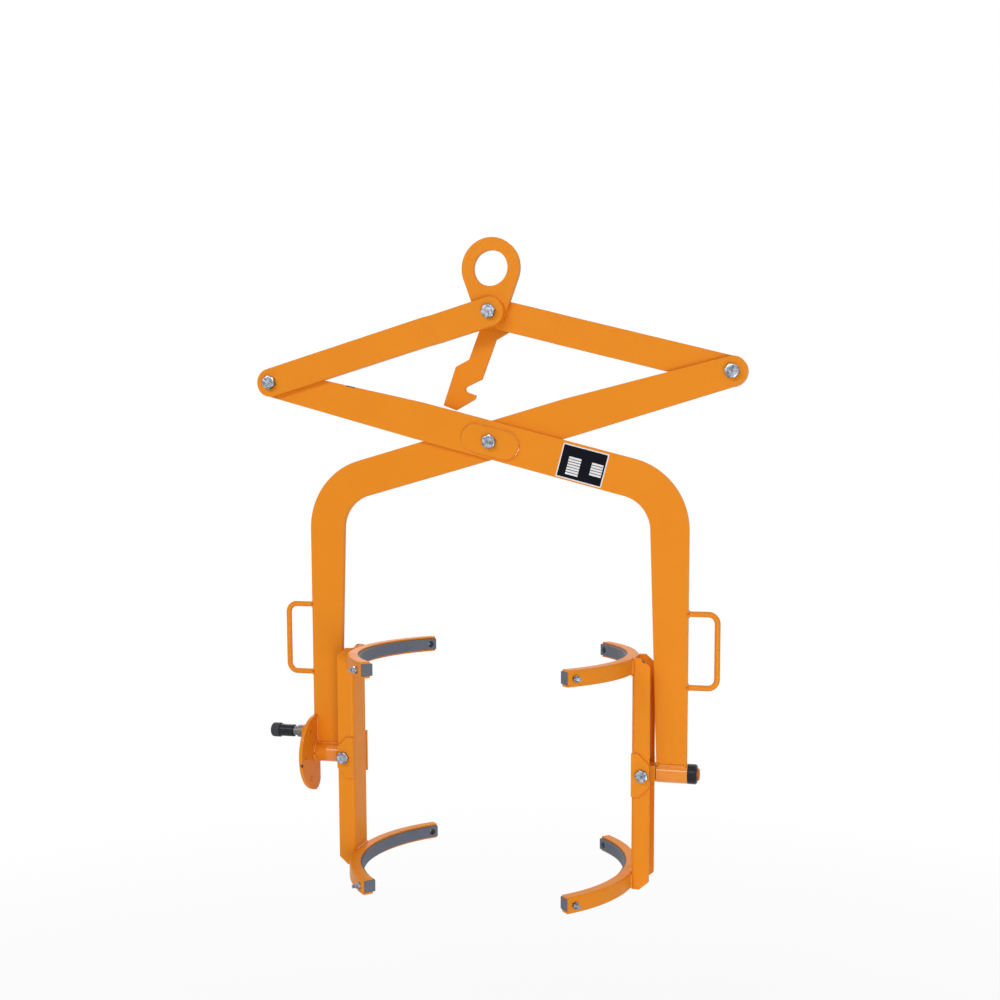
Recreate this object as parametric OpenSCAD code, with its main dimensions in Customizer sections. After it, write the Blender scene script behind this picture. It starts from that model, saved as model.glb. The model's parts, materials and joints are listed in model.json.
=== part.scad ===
// Drum turning clamp: a scissor clamp that hangs by its eye, grips an upright
// steel drum between two pairs of padded jaws, and lets the drum turn over on
// a level axle. Origin at the middle of the lifting eye, X to the right,
// Y away from the front, Z up, all in millimetres.

/* [Lifting eye] */
// Diameter of the hole that takes the hoist hook
eye_hole_d = 75; // [64:1:84]
// Steel left round the eye hole
eye_rim = 26; // [20:1:32]
// Radius of the lower end of the eye plate, round the top pivot
eye_foot_r = 32; // [28:1:36]
// From the middle of the eye down to the top pivot
eye_drop = 92; // [84:1:110]
// Thickness of the eye plate, the links and the arms
plate_t = 12; // [8:1:15]

/* [Scissor] */
// Distance between the pivots along each link and arm
side_len = 524; // [490:1:570]
// Slope of the links below level, with the jaws on the drum
slope = 15.1; // [13.5:0.1:17]
// Width of the two upper links
link_w = 62; // [54:1:68]
// Distance of the step in a link from the top pivot
step_at = 125; // [100:1:160]
// Length of the step in a link
step_len = 24; // [18:1:40]
// Width of the arms below the middle pivot
arm_w = 80; // [72:1:88]
// Height of an arm's middle line above its pivots
arm_rise = 4; // [0:0.5:7]
// From the middle pivot back to the kink where an arm starts to narrow
kink_at = 176; // [140:1:240]
// Outer radius of the bend between arm and leg
bend_r = 155; // [130:1:170]
// Length of the plate that thickens each arm at the middle pivot
doubler_len = 128; // [100:1:160]
// Width of that plate
doubler_w = 59; // [50:1:66]
// Thickness of that plate
doubler_t = 6; // [4:0.5:10]

/* [Pivot bolts] */
// Diameter of the four scissor bolts
pivot_d = 18; // [16:1:22]
// Width across the flats of their heads and nuts
pivot_af = 27; // [24:1:34]
// Height of their heads
pivot_head = 11.5; // [9:0.5:15]
// Height of their nuts
pivot_nut = 15; // [12:0.5:18]
// Height of the low nut at the middle pivot
low_nut = 9; // [8:0.5:12]

/* [Legs and axles] */
// From the middle pivot down to the turning axis
axle_drop = 697; // [660:1:760]
// Width of a leg at its foot
foot_w = 63; // [54:1:72]
// Gap between a yoke and the foot of its leg
leg_gap = 11; // [7:0.5:16]
// Diameter of the turning axles
axle_d = 26; // [22:1:28]
// Outer diameter of the bearing tubes
tube_d = 42; // [35:1:48]
// Side of the square block on the inner end of each axle
block_size = 34; // [32:1:42]
// From the swivel bolt to the block's inner face
block_in = 15.5; // [13:0.5:16]
// Gap between the block and the bearing tube
block_gap = 1.5; // [1:0.5:4]
// Depth that the axle enters the block
axle_seat = 14; // [8:1:16]
// Diameter of the ring that keeps the right axle in
collar_d = 42; // [38:1:48]
// Length of that ring
collar_len = 19; // [12:1:26]
// Width of the cut round its outer end
collar_edge = 3; // [1:0.5:4]

/* [Index plate and plunger] */
// Radius of the index plate
index_r = 86; // [83:1:96]
// Radius of the circle of index holes
index_hole_r = 66; // [60:1:68]
// Angle from one index hole to the next
index_step = 55; // [45:1:60]
// Thickness of the index plate
index_t = 8; // [6:0.5:10]
// Rounding of its lower back corner
index_round = 25; // [15:1:32]
// Thickness of the crank that carries the plunger
crank_t = 8; // [6:0.5:14]
// Diameter of the plunger's pin
pin_d = 10; // [8:0.5:13]
// Distance that the plunger travels
pin_travel = 11; // [10:0.5:12]
// Outer diameter of the plunger's sleeve, at its wide end by the crank
sleeve_d = 27.5; // [24:0.5:30]
// Outer diameter of the rest of the sleeve, which guides the grip
guide_d = 21; // [19:0.5:23]
// Length of the whole sleeve
sleeve_len = 35; // [33:1:44]
// Outer diameter of the black grip
grip_d = 27.5; // [25:0.5:32]
// Length of the grip
grip_len = 33; // [30:1:44]
// Diameter of the cap on the grip
cap_d = 32; // [29:1:38]
// Length of the cap
cap_len = 21; // [18:1:30]

/* [Yokes] */
// Length of a yoke beam
beam_len = 492; // [440:1:560]
// Width of a beam from front to back
beam_wide = 76; // [68:1:90]
// Depth of its two flanges, away from the drum
flange_w = 38; // [36:0.5:46]
// Thickness of the flanges
flange_t = 6; // [4:0.5:8]
// Thickness of the web on the drum side
web_t = 5; // [4:0.5:6.5]
// Cut across each free corner of the flanges
beam_cut = 20; // [10:1:26]
// Height of the cheek plates round the swivel bolt
cheek_h = 92; // [84:1:120]
// Thickness of the cheek plates
cheek_t = 6; // [4:0.5:9]
// Diameter of the swivel bolts
swivel_d = 16; // [12:1:18]
// From the drum side of the web to the swivel bolt
swivel_in = 23; // [22:0.5:25]
// Width across the flats of the swivel bolts
swivel_af = 24; // [22:1:28]
// Outer diameter of the spacers between the block and the flanges
spacer_d = 28; // [22:1:30]

/* [Jaws and pads] */
// Diameter of the drum that the pads close on
drum_d = 572; // [540:1:590]
// Thickness of the rubber pads
pad_t = 26; // [22:0.5:30]
// Height of a rolled jaw channel
jaw_h = 34; // [30:1:44]
// Thickness of the channel's back and lips
jaw_wall = 4; // [3:0.5:5]
// Depth of the channel, back to lip edge
jaw_depth = 24; // [18:0.5:26]
// Half of the angle that a jaw spans round the drum
jaw_half = 46; // [38:1:52]
// Diameter of the pad bolts
pad_bolt_d = 8; // [6:0.5:10]
// Width across the flats of their nuts
pad_nut_af = 13; // [12:1:17]
// From the end of a jaw to its bolt, along the curve
pad_bolt_in = 15; // [12:1:24]

/* [Lock hook] */
// From the top pivot to the seat of the hook's slot
hook_reach = 169; // [160:1:178]
// Width of the hook's shank
hook_w = 42; // [36:1:48]
// Thickness of the hook
hook_t = 8; // [6:0.5:10]
// Diameter of the stud that the slot drops over
stud_d = 12; // [10:0.5:14]
// Gap round the stud in the slot
stud_gap = 0.5; // [0.4:0.1:1]
// Angle that the hook hangs back from its locked place
hook_hang = 21.2; // [18:0.2:24]
// Length of the hook's counterweight tail
tail_len = 117; // [90:1:130]

/* [Handles] */
// Diameter of the bar
bar_d = 12; // [10:0.5:12]
// Height of a handle over its bends
handle_h = 166; // [140:1:190]
// How far a handle stands out from its leg
handle_out = 66; // [54:1:80]
// Height of a handle's middle above the turning axis
handle_up = 261; // [210:1:300]

/* [Fits] */
// Radial clearance of a pin or axle that turns in its bore
run_gap = 0.05; // [0.03:0.01:0.09]
// Gap round pieces that are fastened or slide
fit_gap = 0.2; // [0.1:0.05:0.3]
// Gap between faces that pass each other
pass_gap = 0.4; // [0.35:0.05:0.6]
// Radial clearance of the middle bolt in the rear arm
free_gap = 0.3; // [0.25:0.05:0.5]

/* [Hidden] */
$fn = 64;

// Colours as the finished clamp shows them
ORANGE = "darkorange";
ZINC = "silver";
BLACK = "#202022";
RUBBER = "#6f7276";
STEEL = "#8a8c90";

// Heights of the pivots and of the turning axis
top_z = -eye_drop;
side_x = side_len * cos(slope);
side_z = top_z - side_len * sin(slope);
mid_z = top_z - 2 * side_len * sin(slope);
axle_z = mid_z - axle_drop;

// Places along X, counted outward from the drum
drum_r = drum_d / 2;
web_x = drum_r + pad_t;
beam_x = web_x + flange_w;
swivel_x = web_x + swivel_in;
tube_x = beam_x + leg_gap;
block_x = tube_x - block_gap;
leg_x = tube_x + foot_w;
tube_out = leg_x + 2;
index_x = leg_x - index_t;
crank_x = leg_x + pass_gap;
sleeve_x = crank_x + crank_t;

// Arm outline, from the middle pivot
arm_top = arm_w / 2 + arm_rise;
arm_bottom = arm_rise - arm_w / 2;
bend_x = leg_x - bend_r;
bend_z = (arm_top - bend_r - sin(slope) * bend_x) / cos(slope);
end_r = link_w / 2;

// Depth layers along Y, from the front
eye_back = plate_t / 2;
spacer_len = doubler_t + low_nut + pass_gap - plate_t / 2 + 3;
hook_y = eye_back + plate_t + spacer_len;
washer_t = 3;
thread_out = 4;

// Jaws and their bolts
jaw_z = beam_len / 2 - jaw_h / 2 - 1;
jaw_out = web_x + jaw_wall;
pad_bolt_angle = jaw_half - pad_bolt_in / jaw_out * 180 / PI;
pad_nut_h = 6.8;
pad_head_d = 1.8 * pad_bolt_d;
pad_head_h = (pad_head_d - pad_bolt_d) / 2;
pad_head_r = drum_r + 11;

// Index holes and the plunger's place
index_a = index_step;
pin_y = -index_hole_r * cos(index_a);
pin_z = axle_z + index_hole_r * sin(index_a);
swivel_head = 10;
swivel_nut_h = 13;
beam_face = beam_wide / 2 + cheek_t;

// Points of an arc, from one angle to another
function arc(c, r, a0, a1, n = 16) =
    [for (i = [0:n]) let (a = a0 + (a1 - a0) * i / n) c + r * [cos(a), sin(a)]];

// Outline round two circles, the second one at a distance along X
function strap(len, r1, r2) =
    let (t = acos((r1 - r2) / len))
    concat(arc([0, 0], r1, t, 360 - t, 32), arc([len, 0], r2, -t, t, 32));

// Turns points about the origin
function turned(pts, a) =
    [for (p = pts) [p[0] * cos(a) - p[1] * sin(a), p[0] * sin(a) + p[1] * cos(a)]];

// A plate with its outline seen from the front, from y0 backward
module plate_y(y0, t) {
    rotate([90, 0, 0]) translate([0, 0, -(y0 + t)]) linear_extrude(t) children();
}

// A plate with its outline seen from the side, from x0 to the right
module plate_x(x0, t) {
    translate([x0, 0, 0]) rotate([90, 0, 90]) linear_extrude(t) children();
}

module bar_y(x, z, y0, y1, d) {
    translate([x, y0, z]) rotate([-90, 0, 0]) cylinder(d = d, h = y1 - y0);
}

module bar_x(x0, x1, y, z, d) {
    translate([x0, y, z]) rotate([0, 90, 0]) cylinder(d = d, h = x1 - x0);
}

module on_side(side) {
    if (side > 0) children();
    else mirror([1, 0, 0]) children();
}

// Hexagon of a bolt head or nut along Z, with its corners turned off
module hexagon(af, h) {
    corner = af / 2 / cos(30);
    cut = (corner - af / 2) * tan(30);
    intersection() {
        cylinder(r = corner, h = h, $fn = 6);
        rotate_extrude()
            polygon([[0, 0], [af / 2, 0], [corner + 0.1, cut],
                     [corner + 0.1, h - cut], [af / 2, h], [0, h]]);
    }
}

// Bolt along Y, with the seat of its head at y
module bolt_y(x, y, z, d, af, head, len) {
    translate([x, y, z]) rotate([-90, 0, 0]) {
        translate([0, 0, -head]) hexagon(af, head);
        cylinder(d = d, h = len - d / 12);
        translate([0, 0, len - d / 12]) cylinder(d1 = d, d2 = d - d / 6, h = d / 12);
    }
}

// Nut along Y, with its seat at y
module nut_y(x, y, z, d, af, h) {
    translate([x, y, z]) rotate([-90, 0, 0])
        difference() {
            hexagon(af, h);
            translate([0, 0, -1]) cylinder(d = d + 2 * run_gap, h = h + 2);
        }
}

module eye_plate() {
    color(ORANGE)
    difference() {
        plate_y(-eye_back, plate_t)
            polygon(turned(strap(eye_drop, eye_hole_d / 2 + eye_rim, eye_foot_r), -90));
        bar_y(0, 0, -plate_t, plate_t, eye_hole_d);
        bar_y(0, top_z, -plate_t, plate_t, pivot_d + 2 * run_gap);
    }
}

module top_bolt() {
    reach = 2 * plate_t + spacer_len + hook_t + washer_t + pivot_nut + thread_out + plate_t;
    color(ZINC)
    bolt_y(0, -eye_back - plate_t, top_z, pivot_d, pivot_af, pivot_head, reach);
}

module ring_y(y0, y1, outer) {
    difference() {
        bar_y(0, top_z, y0, y1, outer);
        bar_y(0, top_z, y0 - 1, y1 + 1, pivot_d + 2 * run_gap);
    }
}

module top_spacer() {
    color(ZINC) ring_y(eye_back + plate_t, hook_y, pivot_d + 14);
}

module top_washer() {
    color(ZINC) ring_y(hook_y + hook_t, hook_y + hook_t + washer_t, 1.85 * pivot_d);
}

module top_nut() {
    color(ZINC) nut_y(0, hook_y + hook_t + washer_t, top_z, pivot_d, pivot_af, pivot_nut);
}

// Right link: lies on the back of the eye plate and steps back by half a plate
// to lie on the back of the arm
module link() {
    y0 = eye_back;
    y1 = plate_t;
    past = side_len + link_w;
    color(ORANGE)
    translate([0, 0, top_z]) rotate([0, slope, 0])
        difference() {
            intersection() {
                plate_y(0, 3 * plate_t) polygon(strap(side_len, link_w / 2, link_w / 2));
                translate([0, 0, -link_w]) linear_extrude(2 * link_w)
                    polygon([[-link_w, y0], [step_at, y0], [step_at + step_len, y1],
                             [past, y1], [past, y1 + plate_t],
                             [step_at + step_len, y1 + plate_t],
                             [step_at, y0 + plate_t], [-link_w, y0 + plate_t]]);
            }
            bar_y(0, 0, -1, 4 * plate_t, pivot_d + 2 * run_gap);
            bar_y(side_len, 0, -1, 4 * plate_t, pivot_d + 2 * run_gap);
        }
}

module right_link() link();
module left_link() rotate([0, 0, 180]) link();

module left_pivot_bolt() {
    color(ZINC)
    bolt_y(-side_x, -2 * plate_t, side_z, pivot_d, pivot_af, pivot_head,
           2 * plate_t + pivot_nut + thread_out);
}

module left_pivot_nut() {
    color(ZINC) nut_y(-side_x, 0, side_z, pivot_d, pivot_af, pivot_nut);
}

module right_pivot_bolt() {
    color(ZINC)
    bolt_y(side_x, 0, side_z, pivot_d, pivot_af, pivot_head,
           2 * plate_t + pivot_nut + thread_out);
}

module right_pivot_nut() {
    color(ZINC) nut_y(side_x, 2 * plate_t, side_z, pivot_d, pivot_af, pivot_nut);
}

// Outline of an arm and its leg in one plate, from the middle pivot: the arm
// runs up to the left and narrows past the kink, the leg goes down on the right
module arm_outline() {
    foot = -axle_drop;
    upper = [[-side_len, 0], [-kink_at, arm_top], [-kink_at, arm_bottom]];
    end_arc = arc(upper[0], end_r, 90, 270, 32);
    polygon(concat(
        turned(concat([upper[1]], end_arc, [upper[2]]), -slope),
        arc([bend_x, bend_z], bend_r - arm_w, 90 - slope, 0, 24),
        [[tube_x, foot], [leg_x, foot]],
        arc([bend_x, bend_z], bend_r, 0, 90 - slope, 24)));
}

// Arm with its leg on the right, in front of the middle plane
module arm(bore_gap) {
    difference() {
        translate([0, 0, mid_z]) plate_y(-plate_t, plate_t) arm_outline();
        bar_y(0, mid_z, -plate_t - 1, 1, pivot_d + 2 * bore_gap);
        bar_y(-side_x, side_z, -plate_t - 1, 1, pivot_d + 2 * run_gap);
        bar_x(tube_x - 1, leg_x + 3, 0, axle_z, tube_d);
    }
}

module front_arm() {
    color(ORANGE) arm(run_gap);
}

module rear_arm() {
    color(ORANGE)
    difference() {
        rotate([0, 0, 180]) arm(free_gap);
        index_blank();
    }
}

module doubler(bore_gap) {
    straight = doubler_len - doubler_w;
    difference() {
        plate_y(-plate_t - doubler_t, doubler_t)
            translate([0, mid_z]) rotate(-slope) translate([-straight / 2, 0])
                polygon(strap(straight, doubler_w / 2, doubler_w / 2));
        bar_y(0, mid_z, -3 * plate_t - doubler_t, 0, pivot_d + 2 * bore_gap);
    }
}

module front_doubler() {
    color(ORANGE) doubler(run_gap);
}

module rear_doubler() {
    color(ORANGE) rotate([0, 0, 180]) doubler(free_gap);
}

// Middle bolt: its low nut is followed by a stud that the lock hook drops over
module middle_bolt() {
    face = plate_t + doubler_t;
    color(ZINC) union() {
        bolt_y(0, -face, mid_z, pivot_d, pivot_af, pivot_head, 2 * face + low_nut + 1);
        bar_y(0, mid_z, face + low_nut, hook_y + hook_t + 2, stud_d);
    }
}

module middle_nut() {
    color(ZINC) nut_y(0, plate_t + doubler_t, mid_z, pivot_d, pivot_af, low_nut);
}

// Handle: a round bar bent twice, its ends butted on the edge of the right leg
module handle() {
    bend = 1.6 * bar_d;
    straight = handle_h / 2 - bar_d / 2 - bend;
    out_x = leg_x + handle_out - bar_d / 2;
    translate([0, -plate_t / 2, axle_z + handle_up]) {
        translate([out_x, 0, -straight]) cylinder(d = bar_d, h = 2 * straight);
        for (m = [0, 1]) mirror([0, 0, m]) translate([out_x - bend, 0, straight]) {
            rotate([90, 0, 0]) rotate_extrude(angle = 90) translate([bend, 0])
                circle(d = bar_d);
            bar_x(leg_x - out_x + bend, 0, 0, bend, bar_d);
        }
    }
}

module right_handle() {
    color(ORANGE) handle();
}

module left_handle() {
    color(ORANGE) rotate([0, 0, 180]) handle();
}

module bearing_tube(out) {
    difference() {
        bar_x(tube_x, out, 0, axle_z, tube_d);
        bar_x(tube_x - 1, out + 1, 0, axle_z, axle_d + 2 * run_gap);
    }
}

module right_bearing_tube() {
    color(ORANGE) bearing_tube(tube_out);
}

module left_bearing_tube() {
    color(ORANGE) on_side(-1) bearing_tube(index_x);
}

// Index plate: a disc cut straight along the back of the leg, its lower back
// corner rounded
module index_blank() {
    back = plate_t;
    round_z = -sqrt(pow(index_r - index_round, 2) - pow(back - index_round, 2));
    round_c = [back - index_round, round_z];
    a_top = acos(back / index_r);
    a_low = 360 + atan2(round_z, back - index_round);
    translate([0, 0, axle_z]) plate_x(-leg_x, index_t)
        polygon(concat(arc([0, 0], index_r, a_top, a_low, 48),
                       arc(round_c, index_round, a_low, 360, 16)));
}

module index_plate() {
    color(ORANGE)
    difference() {
        index_blank();
        bar_x(-leg_x - 1, -index_x + 1, 0, axle_z, axle_d + 2 * pass_gap);
        for (i = [-1:1]) let (a = i * index_a)
            bar_x(-leg_x - 1, -index_x + 1, -index_hole_r * cos(a),
                  axle_z + index_hole_r * sin(a), pin_d + 2 * pass_gap);
    }
}

// Square block on the right, between the flanges of the yoke: the swivel bolt
// passes through it, and the axle is welded into its outer face
module block() {
    half = block_size / 2;
    x0 = swivel_x - block_in;
    cut = 3;
    difference() {
        plate_y(-half, block_size) translate([0, axle_z])
            polygon([[x0 + cut, -half], [block_x, -half], [block_x, half],
                     [x0 + cut, half], [x0, half - cut], [x0, cut - half]]);
        bar_y(swivel_x, axle_z, -half - 1, half + 1, swivel_d + 2 * run_gap);
        bar_x(block_x - axle_seat, block_x + 1, 0, axle_z, axle_d + 2 * run_gap);
    }
}

module axle(out) {
    bar_x(block_x - axle_seat, out, 0, axle_z, axle_d);
}

module right_block() { color(ORANGE) block(); }
module left_block() { color(ORANGE) on_side(-1) block(); }

module right_axle() {
    end = tube_out + pass_gap + collar_len;
    color(STEEL) union() {
        axle(end + 3);
        translate([end + 3, 0, axle_z]) rotate([0, 90, 0])
            cylinder(d1 = axle_d, d2 = axle_d - 3, h = 1.5);
    }
}

module right_collar() {
    x0 = tube_out + pass_gap;
    x1 = x0 + collar_len;
    color(BLACK)
    difference() {
        union() {
            bar_x(x0, x1 - collar_edge, 0, axle_z, collar_d);
            translate([x1 - collar_edge, 0, axle_z]) rotate([0, 90, 0])
                cylinder(d1 = collar_d, d2 = collar_d - 2 * collar_edge, h = collar_edge);
        }
        bar_x(x0 - 1, x1 + 1, 0, axle_z, axle_d + 2 * run_gap);
    }
}

// Left axle: carries the crank on a smaller threaded end
module left_axle() {
    color(STEEL) on_side(-1) union() {
        axle(sleeve_x);
        bar_x(sleeve_x, sleeve_x + low_nut + thread_out, 0, axle_z, axle_d - 6);
    }
}

module crank_arm() {
    color(ORANGE)
    difference() {
        translate([0, 0, axle_z]) plate_x(-sleeve_x, crank_t)
            polygon(turned(strap(index_hole_r, axle_d / 2 + 10, sleeve_d / 2 + 1),
                           180 - index_a));
        bar_x(-sleeve_x - 1, -crank_x + 1, 0, axle_z, axle_d + 2 * run_gap);
        bar_x(-sleeve_x - 1, -crank_x + 1, pin_y, pin_z, pin_d + 2 * run_gap);
    }
}

module crank_nut() {
    color(ZINC) on_side(-1) translate([sleeve_x, 0, axle_z]) rotate([0, 90, 0])
        difference() {
            hexagon(pivot_af, low_nut);
            translate([0, 0, -1]) cylinder(d = axle_d - 6 + 2 * run_gap, h = low_nut + 2);
        }
}

// Plunger sleeve: hollow, with the spring between its end wall and a ring on
// the pin. The grip slides on its narrow part and stops at the wide one
spring_d = guide_d - 3.5;
sleeve_wall = 4;
body_len = sleeve_len + 10 - grip_len - fit_gap;
ring_t = 3;
ring_x = pin_travel + 3;

module plunger_sleeve() {
    end = sleeve_x + sleeve_len;
    color(STEEL) on_side(-1)
    difference() {
        union() {
            bar_x(sleeve_x, sleeve_x + body_len, pin_y, pin_z, sleeve_d);
            bar_x(sleeve_x, end, pin_y, pin_z, guide_d);
        }
        bar_x(sleeve_x - 1, end - sleeve_wall, pin_y, pin_z, spring_d);
        bar_x(sleeve_x, end + 1, pin_y, pin_z, pin_d + 2 * run_gap);
    }
}

// Spring: a round wire wound from the ring to the end wall, pressed together as
// it is while the pin is out. The outline is the wire's cut across the axis
module plunger_spring() {
    wire = 1.6;
    coil_r = (spring_d + pin_d) / 4;
    long = sleeve_len - sleeve_wall - ring_x - ring_t - 2 * fit_gap;
    turns = floor(long / wire / 1.4);
    span = 180 * wire * turns / long;
    steps = 5;
    x0 = sleeve_x + ring_x + ring_t + fit_gap;
    color(STEEL) on_side(-1)
    translate([x0, pin_y, pin_z]) rotate([0, 90, 0])
        linear_extrude(long, twist = 360 * turns, slices = 16 * turns, $fn = 8)
            polygon([for (s = [1, -1], i = [-steps:steps - 1])
                let (t = 90 * i / steps, a = s * span * sin(t), r = coil_r + s * wire / 2 * cos(t))
                r * [cos(a), sin(a)]]);
}

module plunger_pin() {
    end = sleeve_x + sleeve_len + pin_travel + 12;
    tip = 2;
    color(STEEL) on_side(-1) {
        bar_x(crank_x + tip + fit_gap, end + cap_len / 2, pin_y, pin_z, pin_d);
        translate([crank_x + fit_gap, pin_y, pin_z]) rotate([0, 90, 0])
            cylinder(d1 = pin_d - tip, d2 = pin_d, h = tip);
        bar_x(sleeve_x + ring_x, sleeve_x + ring_x + ring_t, pin_y, pin_z,
              spring_d - 2 * pass_gap);
    }
}

// Grip: a tube that slides over the sleeve
grip_end = sleeve_x + sleeve_len + pin_travel + 10;

module plunger_grip() {
    x0 = grip_end - grip_len;
    edge = 1;
    color(BLACK) on_side(-1)
    difference() {
        union() {
            bar_x(x0 + edge, grip_end, pin_y, pin_z, grip_d);
            translate([x0, pin_y, pin_z]) rotate([0, 90, 0])
                cylinder(d1 = grip_d - 2 * edge, d2 = grip_d, h = edge);
        }
        bar_x(x0 - 1, sleeve_x + sleeve_len + pin_travel + 0.6, pin_y, pin_z,
              guide_d + 2 * fit_gap);
        bar_x(x0, grip_end + 1, pin_y, pin_z, pin_d + 2 * run_gap);
    }
}

module plunger_cap() {
    cut = 7;
    hole_end = grip_end + 2 + cap_len / 2;
    color(BLACK) on_side(-1)
    difference() {
        translate([grip_end, pin_y, pin_z]) rotate([0, 90, 0]) rotate_extrude()
            polygon([[0, 0], [cap_d / 2 - 1, 0], [cap_d / 2, 1],
                     [cap_d / 2, cap_len - cut], [cap_d / 2 - cut, cap_len],
                     [0, cap_len]]);
        bar_x(grip_end - 1, hole_end + run_gap, pin_y, pin_z, pin_d + 2 * run_gap);
    }
}

// Yoke beam on the right: a pressed channel, its web on the drum side and the
// free corners of its flanges cut off
module beam() {
    half = beam_wide / 2;
    outer = flange_t + 2;
    inner = 2;
    x1 = web_x + web_t;
    y1 = half - flange_t;
    cut_z = 0.9 * beam_cut;
    top = beam_len / 2;
    difference() {
        intersection() {
            translate([0, 0, axle_z - top]) linear_extrude(beam_len)
                polygon(concat(
                    arc([web_x + outer, half - outer], outer, 90, 180, 6),
                    arc([web_x + outer, outer - half], outer, 180, 270, 6),
                    [[beam_x, -half], [beam_x, -y1]],
                    arc([x1 + inner, inner - y1], inner, 270, 180, 4),
                    arc([x1 + inner, y1 - inner], inner, 180, 90, 4),
                    [[beam_x, y1], [beam_x, half]]));
            plate_y(-half - 1, beam_wide + 2) translate([0, axle_z])
                polygon([[web_x - 1, -top - 1], [beam_x - beam_cut, -top - 1],
                         [beam_x - beam_cut, -top], [beam_x, cut_z - top],
                         [beam_x + 1, cut_z - top], [beam_x + 1, top - cut_z],
                         [beam_x, top - cut_z], [beam_x - beam_cut, top],
                         [beam_x - beam_cut, top + 1], [web_x - 1, top + 1]]);
        }
        bar_y(swivel_x, axle_z, -half - 1, half + 1, swivel_d + 2 * run_gap);
    }
}

// Cheek plates on the outside of both flanges, round the swivel bolt
module cheeks() {
    half = cheek_h / 2;
    cut = 0.6 * flange_w;
    difference() {
        for (s = [0, 1]) mirror([0, s, 0])
            plate_y(beam_wide / 2, cheek_t) translate([0, axle_z])
                polygon([[web_x, -half], [beam_x - cut, -half],
                         [beam_x, cut - half], [beam_x, half - cut],
                         [beam_x - cut, half], [web_x, half]]);
        bar_y(swivel_x, axle_z, -beam_wide, beam_wide, swivel_d + 2 * run_gap);
    }
}

module swivel_bolt() {
    bolt_y(swivel_x, -beam_face, axle_z, swivel_d, swivel_af, swivel_head,
           2 * beam_face + swivel_nut_h + thread_out);
}

// Spacers on the swivel bolt, between the block and the two flanges
module swivel_spacers() {
    y0 = block_size / 2 + fit_gap;
    y1 = beam_wide / 2 - flange_t;
    for (s = [0, 1]) mirror([0, s, 0])
        difference() {
            bar_y(swivel_x, axle_z, y0, y1, spacer_d);
            bar_y(swivel_x, axle_z, y0 - 1, y1 + 1, swivel_d + 2 * run_gap);
        }
}

module swivel_nut() {
    nut_y(swivel_x, beam_face, axle_z, swivel_d, swivel_af, swivel_nut_h);
}

// Places a piece at each of the two bolts of a jaw, outward along +X
module at_pad_bolts() {
    for (a = [-pad_bolt_angle, pad_bolt_angle])
        rotate([0, 0, a]) children();
}

// Both jaw levels of a yoke
module at_levels() {
    for (s = [-1, 1]) translate([0, 0, axle_z + s * jaw_z]) children();
}

// Jaw: a channel rolled to the drum, open towards it, notched over the beam
module jaw() {
    inner = jaw_out - jaw_depth;
    half = jaw_h / 2;
    bend = jaw_wall + 1;
    notch = beam_wide / 2;
    difference() {
        rotate([0, 0, -jaw_half]) rotate_extrude(angle = 2 * jaw_half, $fn = 160)
            polygon(concat([[inner, -half]],
                           arc([jaw_out - bend, bend - half], bend, 270, 360, 5),
                           arc([jaw_out - bend, half - bend], bend, 0, 90, 5),
                           [[inner, half], [inner, half - jaw_wall],
                            [web_x, half - jaw_wall], [web_x, jaw_wall - half],
                            [inner, jaw_wall - half]]));
        translate([web_x, -notch, -jaw_h]) cube([2 * flange_w, 2 * notch, 2 * jaw_h]);
        at_pad_bolts() bar_x(drum_r, jaw_out + 9, 0, 0, pad_bolt_d + 2 * fit_gap);
    }
}

// Rubber pad: fills the channel and stands proud of its lips
module pad() {
    half = jaw_h / 2 - jaw_wall - fit_gap;
    difference() {
        rotate([0, 0, -jaw_half]) rotate_extrude(angle = 2 * jaw_half, $fn = 160)
            polygon([[drum_r, -half + 1.5], [drum_r + 1.5, -half], [web_x - fit_gap, -half],
                     [web_x - fit_gap, half], [drum_r + 1.5, half], [drum_r, half - 1.5]]);
        at_pad_bolts() {
            bar_x(drum_r - 9, pad_head_r, 0, 0, pad_head_d + 2 * fit_gap);
            translate([pad_head_r - 0.01, 0, 0]) rotate([0, 90, 0])
                cylinder(d1 = pad_head_d + 2 * fit_gap, d2 = pad_bolt_d + 2 * fit_gap,
                         h = pad_head_h);
            bar_x(pad_head_r, jaw_out, 0, 0, pad_bolt_d + 2 * fit_gap);
        }
    }
}

module pad_bolts() {
    at_levels() at_pad_bolts() {
        translate([pad_head_r, 0, 0]) rotate([0, 90, 0])
            cylinder(d1 = pad_head_d, d2 = pad_bolt_d, h = pad_head_h);
        bar_x(pad_head_r + pad_head_h - 0.5, jaw_out + pad_nut_h + 9, 0, 0, pad_bolt_d);
        translate([jaw_out + pad_nut_h + 9, 0, 0]) rotate([0, 90, 0])
            cylinder(d1 = pad_bolt_d, d2 = pad_bolt_d - 2, h = 1);
    }
}

module pad_nuts() {
    at_levels() at_pad_bolts() translate([jaw_out, 0, 0]) rotate([0, 90, 0])
        difference() {
            hexagon(pad_nut_af, pad_nut_h);
            translate([0, 0, -1]) cylinder(d = pad_bolt_d + 2 * run_gap, h = pad_nut_h + 2);
        }
}

module at_upper() {
    translate([0, 0, axle_z + jaw_z]) children();
}

module at_lower() {
    translate([0, 0, axle_z - jaw_z]) children();
}

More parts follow.
